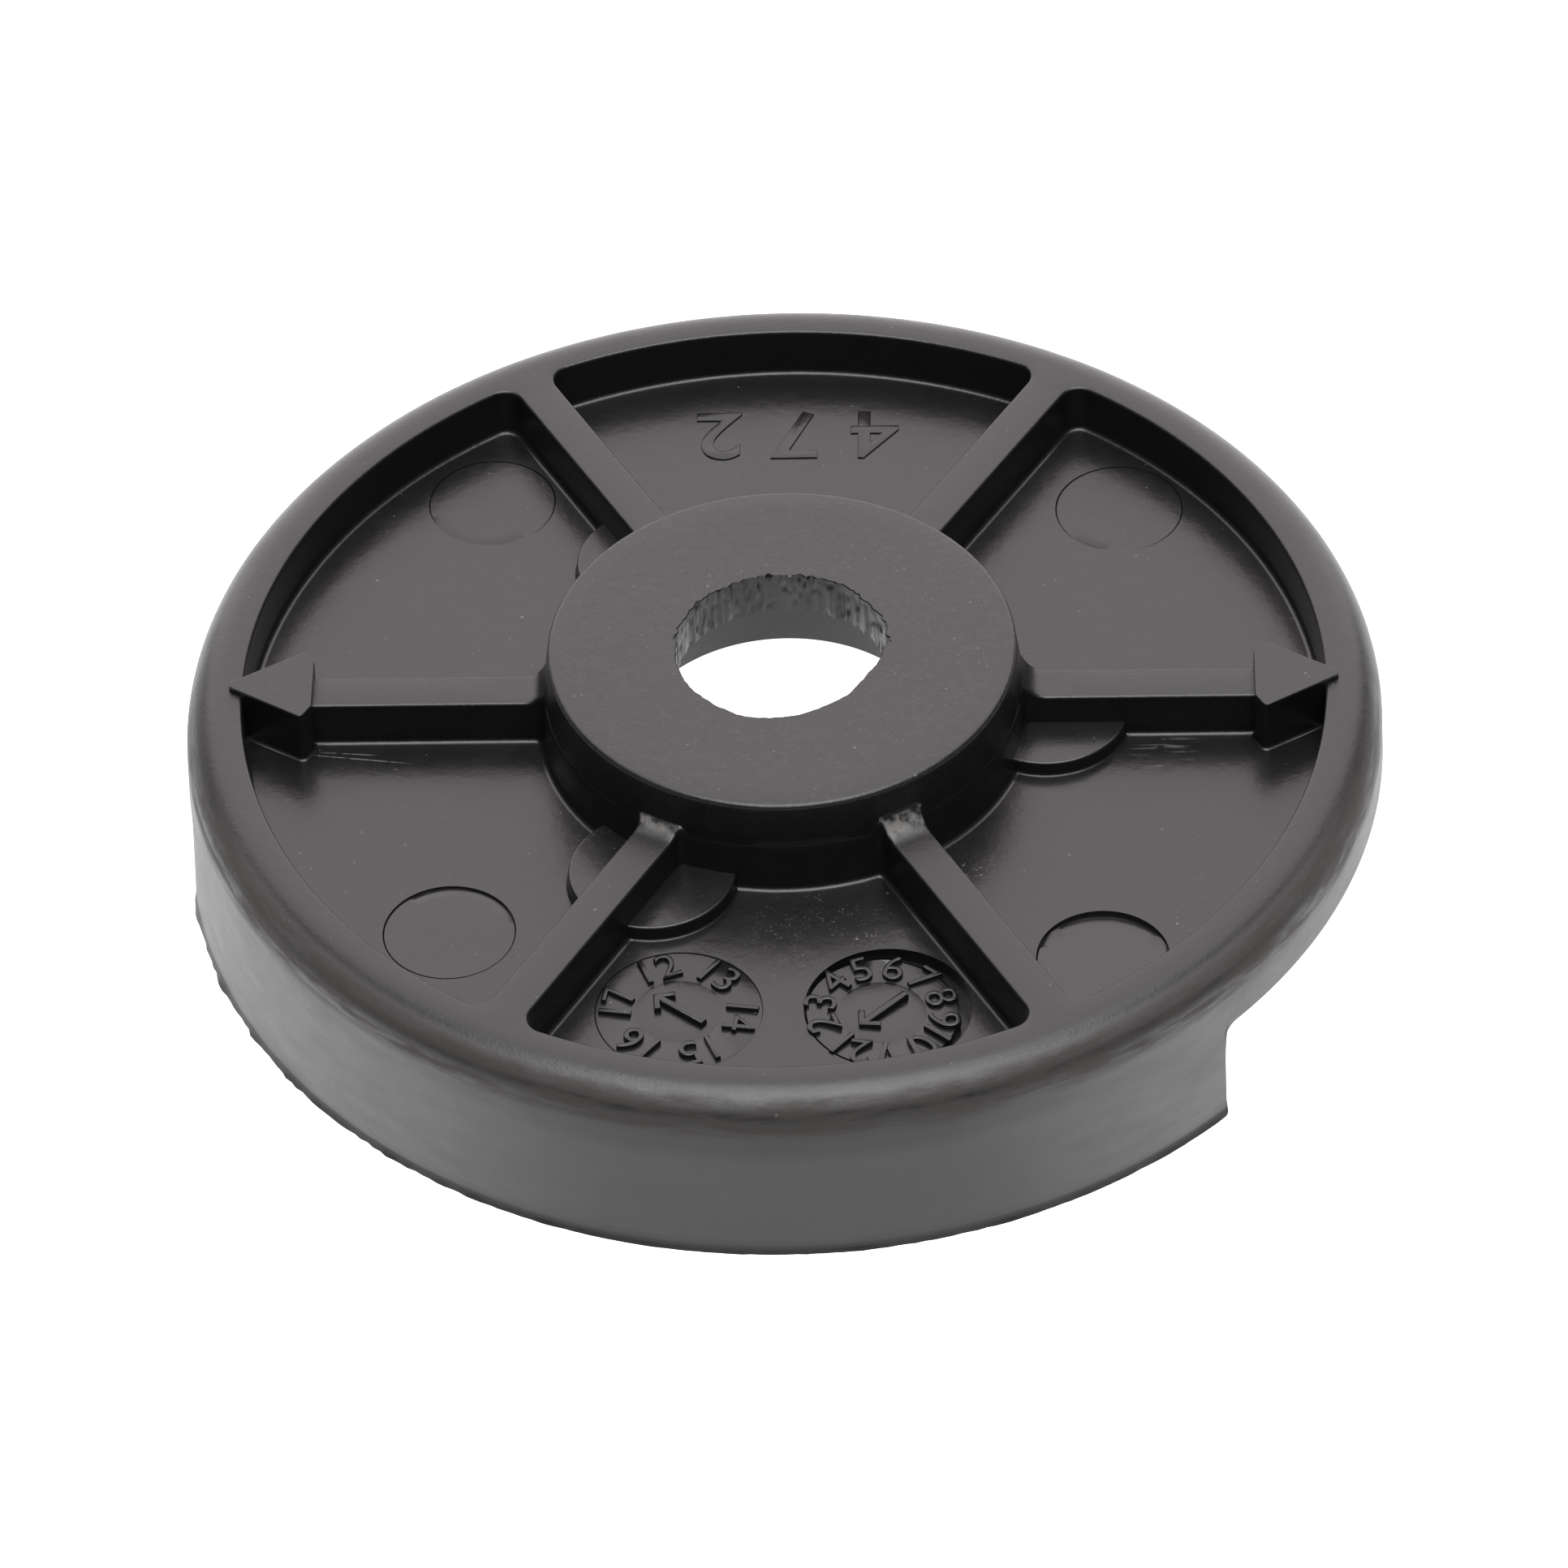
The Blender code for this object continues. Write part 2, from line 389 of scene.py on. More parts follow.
def hub_corner(angle, side, inset, hub_radius):
    """Centre, radius and turn from the rib of the fillet where a rib meets the hub."""
    radius = HUB_CORNER - inset
    turn = math.degrees(math.asin((half_width(angle) + HUB_CORNER) / (hub_radius + radius)))
    return polar(hub_radius + radius, angle + side * turn), radius, turn


def pocket_loop(start, end, inset, hub_radius):
    """A pocket's outline at one level of its wall, counterclockwise from the hub end of its first rib."""
    first, first_radius, first_turn = rim_corner(start, 1, inset)
    last, last_radius, last_turn = rim_corner(end, -1, inset)
    near, near_radius, near_turn = hub_corner(start, 1, inset, hub_radius)
    far, far_radius, far_turn = hub_corner(end, -1, inset, hub_radius)
    points = rib_side(start, 1, inset, hub_radius)
    points += arc(first, first_radius, start - 90, start + first_turn, 9)[1:]
    points += arc((0, 0), RIM_INNER_RADIUS - inset, start + first_turn, end - last_turn, 40)[1:]
    points += arc(last, last_radius, end - last_turn, end + 90, 9)[1:]
    points += list(reversed(rib_side(end, -1, inset, hub_radius)))[1:]
    points += arc(far, far_radius, end + 90, end - far_turn + 180, 6)[1:]
    points += arc((0, 0), hub_radius, end - far_turn, start + near_turn, 28)[1:]
    points += arc(near, near_radius, start + near_turn + 180, start + 270, 6)[1:-1]
    return points


def pocket_levels():
    """Inset, hub radius and height of a pocket's wall: over its edge, down its draft, into the floor."""
    levels = []
    steps = 5
    for i in range(steps + 1):
        turn = math.radians(90 * i / steps)
        inset = -EDGE_ROUND * (1 - math.sin(turn))
        hub = HUB_LEDGE_RADIUS + HUB_EDGE_LEAN * (1 - math.cos(turn))
        levels.append((inset, hub, RIM_TOP_Z - EDGE_ROUND * (1 - math.cos(turn))))
    foot_top = FLOOR_Z + FOOT_FILLET
    for i in range(1, 4):
        share = i / 4
        hub = HUB_LEDGE_RADIUS + HUB_EDGE_LEAN + HUB_SIDE_LEAN * share
        height = RIM_TOP_Z - EDGE_ROUND + (foot_top - RIM_TOP_Z + EDGE_ROUND) * share
        levels.append((WALL_DRAFT * share, hub, height))
    for i in range(steps + 1):
        turn = math.radians(90 * i / steps)
        out = FOOT_FILLET * (1 - math.cos(turn))
        height = foot_top - FOOT_FILLET * math.sin(turn)
        levels.append((WALL_DRAFT + out, HUB_FOOT_RADIUS + out, height))
    foot = FOOT_FILLET + FLOOR_MARGIN
    levels.append((WALL_DRAFT + foot, HUB_FOOT_RADIUS + foot, FLOOR_Z))
    return levels


def ramp(x, y):
    """How far a rib's top moves up or down: ribs climb to the hub, and shafts lie low."""
    move = 0
    for angle in RIB_ANGLES:
        turn = math.radians(angle)
        along = x * math.cos(turn) + y * math.sin(turn)
        across = abs(y * math.cos(turn) - x * math.sin(turn))
        if along < HUB_RADIUS - 0.5:
            continue
        half = half_width(angle)
        near = 1 - between(half, half + RAMP_FADE, across)
        climb = (HUB_SHOULDER_RADIUS + RAMP_LENGTH[angle] - along) / RAMP_LENGTH[angle]
        rise = RAMP_RISE[angle] * min(max(climb, 0), 1) ** 2
        if is_shaft(angle):
            low = 1 - between(*SHAFT_LOW_FADE, across - half)
            sink = (RIM_TOP_Z - SHAFT_TOP_Z) * low * between(*SHAFT_LOW_START, along)
            rise -= sink * (1 - between(*SHAFT_LOW_END, along))
        move += rise * near
    return move


def shaped(point):
    """Moves a point of the ribbed side with the ramps, in full at the ribs' tops, fading to the floor."""
    x, y, z = point
    if z < FLOOR_Z or math.hypot(x, y) < HUB_RADIUS - 0.01:
        return point
    if z <= RIM_TOP_Z + 1e-6:
        share = (z - FLOOR_Z) / (RIM_TOP_Z - FLOOR_Z)
    else:
        share = max(0, 1 - (z - RIM_TOP_Z) / 1.2)
    return (x, y, z + ramp(x, y) * share)


def skirt_line():
    """Angle and height along the lower edge of the outer wall, once around, with its skirt ends."""
    line = []
    degree = 180 / math.pi / RIM_RADIUS
    fillet = SKIRT_END_FILLET
    corner = SKIRT_END_ROUND
    for number, (start, end) in enumerate(sorted(SKIRT_SEGMENTS)):
        foot = [(end - (end - start) * (1 - i / 150), 0) for i in range(151)]
        line += foot[2:-2]
        edge = arc((-corner, corner), corner, -90, 0, 4)
        edge += [(0, corner + (RIM_BOTTOM_Z - fillet - corner) * i / 12) for i in range(1, 12)]
        edge += arc((fillet, RIM_BOTTOM_Z - fillet), fillet, 180, 90, 7)
        line += [(end + x * degree, z) for x, z in edge]
        following = sorted(SKIRT_SEGMENTS)[(number + 1) % 2][0] + (360 if number else 0)
        gap_start = end + fillet * degree
        gap_end = following - fillet * degree
        line += [(gap_start + (gap_end - gap_start) * i / 60, RIM_BOTTOM_Z) for i in range(1, 60)]
        line += [(following - x * degree, z) for x, z in reversed(edge)]
    return line


def smoothed(angles, reach):
    """A running mean of angles once around, which parts columns that share one angle."""
    count = len(angles)
    turned = [a - 360 for a in angles] + list(angles) + [a + 360 for a in angles]
    means = []
    for i in range(count, 2 * count):
        window = turned[i - reach : i + reach + 1]
        means.append(sum(window) / len(window))
    return means


def outer_radius(height):
    """The drafted outer wall."""
    top = RIM_TOP_Z - RIM_ROUND
    return RIM_RADIUS + (WALL_FOOT_RADIUS - RIM_RADIUS) * max(0, top - height) / top


def foot_flare(angle, foot):
    """How far the wall's lowest edge stands out, ragged with flash."""
    spot = Vector((math.radians(angle) * SKIRT_FOOT_RADIUS, 0.3, 1.7))
    rag = 0.5 * noise.noise(spot * 1.1) + 0.5 * noise.noise(spot * 3.1)
    end = 1 - between(*FLASH_END, angle % 360)
    flare = SKIRT_FOOT_RADIUS - WALL_FOOT_RADIUS + rag * (FLASH + FLASH_AT_END * end)
    return flare * max(0, 1 - foot / FLASH_REACH)


def turned_ring(skin, radius, height, angles):
    return skin.ring([polar(radius, a) for a in angles], height)


def add_outside(skin, line):
    """The rim's round edge and the outer wall. Returns the ring at the flat top and the lower edge."""
    upper = smoothed([a for a, _ in line], 16)
    wall_top = RIM_TOP_Z - RIM_ROUND
    rings = []
    for i in range(11):
        turn = math.radians(9 * i)
        radius = RIM_RADIUS - RIM_ROUND * (1 - math.sin(turn))
        height = RIM_TOP_Z - RIM_ROUND * (1 - math.cos(turn))
        rings.append(turned_ring(skin, radius, height, upper))
    rows = 14
    for row in range(1, rows + 3):
        share = min(row / rows, 1)
        flare = max(0, row - rows) / 2
        flat = []
        heights = []
        for top, (angle, foot) in zip(upper, line):
            low = foot + FOOT_FLARE_HEIGHT
            height = wall_top + (low - wall_top) * share - FOOT_FLARE_HEIGHT * flare
            radius = outer_radius(height) + foot_flare(angle, foot) * flare
            flat.append(polar(radius, top + (angle - top) * share))
            heights.append(height)
        rings.append(skin.ring(flat, heights))
    skin.bands(rings)
    return rings[0], rings[-1]


def add_underside(skin, line, edge, seat):
    """The skirt's foot, its inner wall and the plate's underside, in to the ring of the seat."""
    inner = [(a, min(z, PLATE_BOTTOM_Z)) for a, z in line]
    foot = skin.ring([polar(SKIRT_INNER_RADIUS, a) for a, _ in inner], [z for _, z in inner])
    skin.band(edge, foot)
    count = len(line)
    rows = 10
    plate = list(foot)
    start = next(i for i in range(count) if inner[i][1] == PLATE_BOTTOM_Z)
    i = start
    while i < start + count:
        if inner[i % count][1] == PLATE_BOTTOM_Z:
            i += 1
            continue
        first = i - 1
        while inner[i % count][1] < PLATE_BOTTOM_Z:
            i += 1
        run = [k % count for k in range(first, i + 1)]
        angles = [inner[k][0] + (360 if k < run[0] else 0) for k in run]
        travel = [0]
        for one, other, k, after in zip(angles, angles[1:], run, run[1:]):
            step = math.radians(other - one) * SKIRT_INNER_RADIUS
            travel.append(travel[-1] + math.hypot(step, inner[after][1] - inner[k][1]))
        columns = [[foot[k]] for k in run]
        for row in range(1, rows + 1):
            share = row / rows
            for number, k in enumerate(run):
                if number in (0, len(run) - 1):
                    continue
                top = angles[0] + (angles[-1] - angles[0]) * travel[number] / travel[-1]
                angle = angles[number] + (top - angles[number]) * share
                height = inner[k][1] + (PLATE_BOTTOM_Z - inner[k][1]) * share
                columns[number] += skin.ring([polar(SKIRT_INNER_RADIUS, angle)], height)
        columns[0] *= rows + 1
        columns[-1] *= rows + 1
        for one, other in zip(columns, columns[1:]):
            for row in range(rows):
                skin.face([one[row], other[row], other[row + 1], one[row + 1]])
        for column, k in zip(columns, run):
            plate[k] = column[-1]
    skin.fill([plate, seat])


def add_bore(skin, angles):
    """The hub, the bore and the seat. Returns the shoulder's ring and the seat's outer one."""
    rings = [skin.ring([polar(shoulder_radius(a), a) for a in angles], RIM_TOP_Z)]
    shoulder = rings[0]
    edge_low = HUB_TOP_Z - HUB_EDGE
    for i in range(1, 9):
        share = i / 8
        radius = HUB_SHOULDER_RADIUS + (HUB_RADIUS - HUB_SHOULDER_RADIUS) * share
        rings.append(turned_ring(skin, radius, RIM_TOP_Z + (edge_low - RIM_TOP_Z) * share, angles))
    for i in range(1, 6):
        turn = math.radians(18 * i)
        radius = HUB_RADIUS - HUB_EDGE * (1 - math.cos(turn))
        rings.append(turned_ring(skin, radius, edge_low + HUB_EDGE * math.sin(turn), angles))
    face_edge = HUB_RADIUS - HUB_EDGE
    for i in range(1, 6):
        flat = []
        for angle in angles:
            lip = BORE_RADIUS + BORE_LIP + drag(angle, HUB_TOP_Z)
            flat.append(polar(face_edge + (lip - face_edge) * i / 5, angle))
        rings.append(skin.ring(flat, HUB_TOP_Z))
    band_top = HUB_TOP_Z - BORE_LIP
    band_foot = SEAT_Z + SEAT_EDGE
    rows = 16
    for row in range(rows + 1):
        height = band_top + (band_foot - band_top) * row / rows
        flat = [polar(BORE_RADIUS + drag(a, height), a) for a in angles]
        rings.append(skin.ring(flat, height))
    rings.append(turned_ring(skin, BORE_RADIUS + 2 * SEAT_EDGE, SEAT_Z, angles))
    rings.append(turned_ring(skin, SEAT_RADIUS - SEAT_FILLET, SEAT_Z, angles))
    for i in range(1, 5):
        turn = math.radians(22.5 * i)
        radius = SEAT_RADIUS - SEAT_FILLET * (1 - math.sin(turn))
        rings.append(turned_ring(skin, radius, SEAT_Z - SEAT_FILLET * (1 - math.cos(turn)), angles))
    foot = PLATE_BOTTOM_Z + SEAT_EDGE
    for i in range(1, 5):
        height = SEAT_Z - SEAT_FILLET + (foot - SEAT_Z + SEAT_FILLET) * i / 4
        rings.append(turned_ring(skin, SEAT_RADIUS, height, angles))
    rings.append(turned_ring(skin, SEAT_RADIUS + SEAT_EDGE, PLATE_BOTTOM_Z, angles))
    skin.bands(rings)
    return shoulder, rings[-1]


def shoulder_radius(angle):
    """The hub at the level of the rim, with a short dent at the front that leaves a ledge."""
    dent = 1 - between(*SHOULDER_DENT_SPREAD, abs(angle - SHOULDER_DENT_ANGLE))
    return HUB_SHOULDER_RADIUS - SHOULDER_DENT * dent


def drag(angle, height):
    """How far the bore's wall moves out: upright drag marks, deepest at the back, less its burrs."""
    turn = math.radians(angle)
    wall = Vector((math.cos(turn), math.sin(turn), 0)) * BORE_RADIUS
    fine = noise.noise(wall * 5 + Vector((0, 0, height * 0.5)))
    broad = noise.noise(wall * 2 + Vector((0, 0, 9 + height * 0.4)))
    nick = noise.noise(wall * 6 + Vector((0, 0, height * 2.4)))
    back = between(-1.5, 1.5, wall.y)
    marks = DRAG_LINES * fine + DRAG_NICKS * max(0, nick - 0.1)
    burr = 0
    for middle, full, end, rise in BURRS:
        burr += rise * (1 - between(full, end, abs(angle - middle)))
    return marks * (0.25 + 0.75 * back) + DRAG_WAVES * broad - burr - BORE_FLASH


def circle(centre, radius, sides=MARK_SIDES):
    return arc(centre, radius, 0, 360, sides)[:-1]


def add_round_mark(skin, centre, radius, rings, tilt):
    """A round mould mark: rings of (inset, depth) inside its outline. Tilt leans the face along x and y."""
    loops = []
    for number, (inset, depth) in enumerate(rings):
        flat = circle(centre, radius - inset)
        heights = []
        for x, y in flat:
            lean = (x - centre[0]) * tilt[0] + (y - centre[1]) * tilt[1]
            heights.append(FLOOR_Z - depth + (lean if number > 1 else 0))
        loops.append(skin.ring(flat, heights))
    skin.bands(loops)
    middle = len(skin.points)
    skin.points.append((centre[0], centre[1], FLOOR_Z - rings[-1][1]))
    for i in range(MARK_SIDES):
        skin.face([loops[-1][i], loops[-1][(i + 1) % MARK_SIDES], middle])
    return loops[0]


def pin_mark(skin, angle, distance, depth, lean, lean_side):
    tilt = polar(lean / PIN_RADIUS, lean_side)
    rings = [(0, 0), (0.02, depth + 0.04), (0.05, depth), (0.5, depth), (1.2, depth)]
    return add_round_mark(skin, polar(distance, angle), PIN_RADIUS, rings, tilt)


def dial_mark(skin, dial):
    """A date insert's face. One that stands off centre leaves a deep crescent beside it."""
    angle, depth, lean, lean_side, off_centre = dial
    tilt = polar(lean / DIAL_RADIUS, lean_side)
    hole = polar(DIAL_DISTANCE, angle)
    if not off_centre:
        return add_round_mark(skin, hole, DIAL_RADIUS, dial_rings(DIAL_RADIUS, depth), tilt)
    insert_radius = DIAL_RADIUS - off_centre - DIAL_GAP_WIDTH
    top = skin.ring(circle(hole, DIAL_RADIUS), FLOOR_Z)
    low = skin.ring(circle(hole, DIAL_RADIUS - 0.01), FLOOR_Z - DIAL_GAP_DEPTH)
    rings = [(0, DIAL_GAP_DEPTH)] + dial_rings(insert_radius, depth)[1:]
    skin.bands([top, low, add_round_mark(skin, dial_centre(dial), insert_radius, rings, tilt)])
    return top


def dial_rings(radius, depth):
    """A dial's edge, its face and the faint seam around its pointer, as (inset, depth) rings."""
    seam = radius - DIAL_SEAM_RADIUS
    rings = [(0, 0), (0.015, depth + 0.03), (0.04, depth), (seam - SEAM_HALF_WIDTH, depth)]
    return rings + [(seam, depth + SEAM_DEPTH), (seam + SEAM_HALF_WIDTH, depth), (seam + 0.6, depth)]


def add_pockets(skin):
    """The six pockets, which are 60 degrees wide. Returns the loops that they leave in the flat top."""
    marks = {}
    for pin in PINS:
        marks.setdefault(int(pin[0] // 60), []).append(pin_mark(skin, *pin))
    for dial in DIALS:
        marks.setdefault(int(dial[0] // 60), []).append(dial_mark(skin, dial))
    tops = []
    for number, (start, end) in enumerate(zip(RIB_ANGLES, NEXT_RIBS)):
        rings = [skin.ring(pocket_loop(start, end, i, hub), z) for i, hub, z in pocket_levels()]
        skin.bands(rings)
        skin.fill([rings[-1]] + marks.get(number, []))
        tops.append(rings[0])
    return tops


def rib_spine(skin):
    """Points along the middle of each rib, which let its top bend up to the hub."""
    spine = []
    for angle in RIB_ANGLES:
        for i in range(16):
            along = HUB_SHOULDER_RADIUS + 0.08 + 0.09 * i
            flat = [place(along, across * half_width(angle), angle) for across in (-0.6, -0.2, 0.2, 0.6)]
            spine += skin.ring(flat, RIM_TOP_Z)
    return spine


def moulding():
    """The whole disc as one closed skin, apart from its arrowheads and gate pads."""
    skin = Skin()
    line = skirt_line()
    even = [360 * i / COLUMNS for i in range(COLUMNS)]
    flat_edge, lower_edge = add_outside(skin, line)
    shoulder, seat = add_bore(skin, even)
    add_underside(skin, line, lower_edge, seat)
    tops = add_pockets(skin)
    skin.fill([flat_edge, shoulder] + tops, rib_spine(skin))
    skin.points = [shaped(p) for p in skin.points]
    return skin.mesh("moulded_disc")


def new_object(name, data):
    made = bpy.data.objects.new(name, data)
    bpy.context.scene.collection.objects.link(made)
    return made


def offset(outline, inset):
    """A convex outline moved in by the same distance on every side."""
    moved = []
    count = len(outline)
    for i in range(count):
        before, here, after = (Vector(outline[(i + k) % count]) for k in (-1, 0, 1))
        one = (here - before).normalized()
        other = (after - here).normalized()
        inward = (Vector((-one.y, one.x)) + Vector((-other.y, other.x))).normalized()
        reach = inset / max(0.3, inward.dot(Vector((-one.y, one.x))))
        moved.append(tuple(here + inward * reach))
    return moved


def solid(name, outline, levels, angle=0):
    """A closed block from (inset, height) levels of one outline, top first."""
    skin = Skin()
    turned = [place(x, y, angle) for x, y in outline]
    rings = [skin.ring(offset(turned, inset), height) for inset, height in levels]
    skin.bands(rings)
    skin.face(list(rings[0]))
    skin.face(list(rings[-1]))
    return new_object(name, skin.mesh(name))


def rounded(outline, radii):
    """An outline with each corner turned into a short arc that touches both of its sides."""
    points = []
    count = len(outline)
    for i, radius in enumerate(radii):
        before, here, after = (Vector(outline[(i + k) % count]) for k in (-1, 0, 1))
        one = (before - here).normalized()
        other = (after - here).normalized()
        half_angle = one.angle(other) / 2
        reach = radius / math.tan(half_angle)
        centre = here + (one + other).normalized() * (radius / math.sin(half_angle))
        first = (here + one * reach - centre).normalized()
        last = (here + other * reach - centre).normalized()
        for step in range(5):
            points.append(tuple(centre + first.slerp(last, step / 4) * radius))
    return points


def head_outline():
    """An arrowhead that points along +X, with clipped rear corners and a blunt tip."""
    side = [
        (HEAD_BASE, -HEAD_BASE_HALF_WIDTH),
        (HEAD_CORNER, -HEAD_HALF_WIDTH),
        (HEAD_TIP, -HEAD_TIP_HALF_WIDTH),
    ]
    return side + [(x, -y) for x, y in reversed(side)]


def block_levels(top, edge, foot):
    """A block's top edge round, its wall, and the flare of its foot into the floor."""
    levels = []
    for i in range(4):
        turn = math.radians(90 * i / 3)
        levels.append((edge * (1 - math.sin(turn)), top - edge * (1 - math.cos(turn))))
    for i in range(5):
        turn = math.radians(72 * i / 4)
        levels.append((-foot * (1 - math.cos(turn)), FLOOR_Z + foot * (1 - math.sin(turn))))
    levels.append((-foot * 1.1, FLOOR_Z - 0.05))
    levels.append((-foot * 1.1, FLOOR_Z - BLOCK_DEPTH))
    return levels


def evaluated_mesh(piece):
    graph = bpy.context.evaluated_depsgraph_get()
    return bpy.data.meshes.new_from_object(piece.evaluated_get(graph))


def join_blocks(piece, blocks):
    """Unites blocks with a piece, so that the moulding stays one skin."""
    for block in blocks:
        boolean = piece.modifiers.new(block.name, "BOOLEAN")
        boolean.operation = "UNION"
        boolean.solver = "EXACT"
        boolean.object = block
    mesh = evaluated_mesh(piece)
    piece.modifiers.clear()
    piece.data = mesh
    for block in blocks:
        bpy.data.objects.remove(block, do_unlink=True)


def smooth(piece):
    """Smooth shading that stays flat on the flats."""
    piece.data.shade_smooth()
    piece.data.set_sharp_from_angle(angle=math.radians(SHARP_ANGLE))
    weighted = piece.modifiers.new("flats", "WEIGHTED_NORMAL")
    weighted.keep_sharp = True
    weighted.weight = 100


def build_disc():
    disc = new_object("moulded_disc", moulding())
    blocks = []
    for angle in (0, 180):
        levels = block_levels(HEAD_TOP_Z, HEAD_EDGE, HEAD_FOOT_FILLET)
        blocks.append(solid(f"head_{angle}", rounded(head_outline(), HEAD_ROUNDS), levels, angle))
    for angle in PAD_ANGLES:
        outline = circle(polar(PAD_DISTANCE, angle), PAD_RADIUS, PAD_SIDES)
        levels = block_levels(FLOOR_Z + PAD_HEIGHT, PAD_EDGE, PAD_FOOT_FILLET)
        blocks.append(solid(f"pad_{angle}", outline, levels))
    join_blocks(disc, blocks)
    smooth(disc)
    return disc


def raised(curve, thickness, round_edge, boldness):
    """A flat curve as a closed raised mesh with rounded edges, half of it above its own origin."""
    curve.extrude = thickness / 2 * MM
    curve.bevel_depth = round_edge * MM
    curve.bevel_resolution = 1
    curve.offset = (boldness - round_edge) * MM
    label = new_object("label", curve)
    mesh = evaluated_mesh(label)
    bpy.data.objects.remove(label, do_unlink=True)
    return mesh


def raised_text(label, size, thickness, boldness):
    """A centred label as a closed mesh. Its rounded edge adds to its thickness."""
    curve = bpy.data.curves.new("label", "FONT")
    curve.body = label
    curve.size = size * MM
    curve.align_x = "CENTER"
    curve.align_y = "CENTER"
    curve.resolution_u = 6
    return raised(curve, thickness, LABEL_EDGE, boldness)


def joined(name, parts):
    """One mesh object from (mesh, matrix) pairs."""
    work = bmesh.new()
    for mesh, matrix in parts:
        mesh.transform(matrix)
        work.from_mesh(mesh)
        bpy.data.meshes.remove(mesh)
    bmesh.ops.remove_doubles(work, verts=work.verts, dist=1e-7)
    mesh = bpy.data.meshes.new(name)
    work.to_mesh(mesh)
    work.free()
    return new_object(name, mesh)


def standing(x, y, z, turn):
    """Places something flat at a point given in millimetres, turned about the upright."""
    return Matrix.Translation(Vector((x, y, z)) * MM) @ Matrix.Rotation(math.radians(turn), 4, "Z")


def raised_arrow(length, width, thickness):
    """A thin pointer with a barbed head, pointing along its own +X."""
    half = length / 2
    outline = [
        (-half, -width / 2),
        (half - 1.5 * width, -width / 2),
        (half - 2.35 * width, -1.35 * width),
        (half - 1.75 * width, -1.95 * width),
        (half, 0),
    ]
    outline += [(x, -y) for x, y in reversed(outline[:-1])]
    curve = bpy.data.curves.new("arrow", "CURVE")
    curve.dimensions = "2D"
    curve.fill_mode = "BOTH"
    spline = curve.splines.new("POLY")
    spline.points.add(len(outline) - 1)
    for point, (x, y) in zip(spline.points, outline):
        point.co = (x * MM, y * MM, 0, 1)
    spline.use_cyclic_u = True
    return raised(curve, thickness, 0.35 * width, 0)


def dial_centre(dial):
    """The middle of a date insert's face, which may stand off its hole's middle."""
    angle, _, _, lean_side, off_centre = dial
    hole = polar(DIAL_DISTANCE, angle)
    shift = polar(off_centre, lean_side)
    return (hole[0] + shift[0], hole[1] + shift[1])


def dial_face(dial):
    """Height of a date dial's face at a point given from its centre."""
    _, depth, lean, lean_side, _ = dial
    tilt = polar(lean / DIAL_RADIUS, lean_side)
    return lambda x, y: FLOOR_Z - depth + x * tilt[0] + y * tilt[1]


def build_dial_marks(name, dial, labels, first_angle, pointer):
    """The numbers around a date dial, tops outward and clockwise, and its pointer's direction."""
    centre = dial_centre(dial)
    face = dial_face(dial)
    parts = []
    for number, label in enumerate(labels):
        angle = first_angle - 360 / len(labels) * number
        x, y = polar(DIAL_LABEL_RADIUS, angle)
        mesh = raised_text(label, DIAL_LABEL_SIZE, 2 * (LABEL_RELIEF - LABEL_EDGE), LABEL_BOLDNESS)
        parts.append((mesh, standing(centre[0] + x, centre[1] + y, face(x, y), angle - 90)))
    arrow = raised_arrow(POINTER_LENGTH, POINTER_WIDTH, POINTER_THICKNESS)
    parts.append((arrow, standing(centre[0], centre[1], face(0, 0), pointer)))
    return joined(name, parts)


def build_cavity_number():
    """A shallow raised cavity number in the back pocket, read from the rim's side."""
    x, y = polar(*NUMBER_PLACE)
    parts = []
    for number, label in enumerate(CAVITY_NUMBER):
        mesh = raised_text(label, NUMBER_SIZE, NUMBER_THICKNESS, NUMBER_BOLDNESS)
        parts.append((mesh, standing(x + NUMBER_STEP * (1 - number), y, FLOOR_Z, 180)))
    return joined("cavity_number", parts)


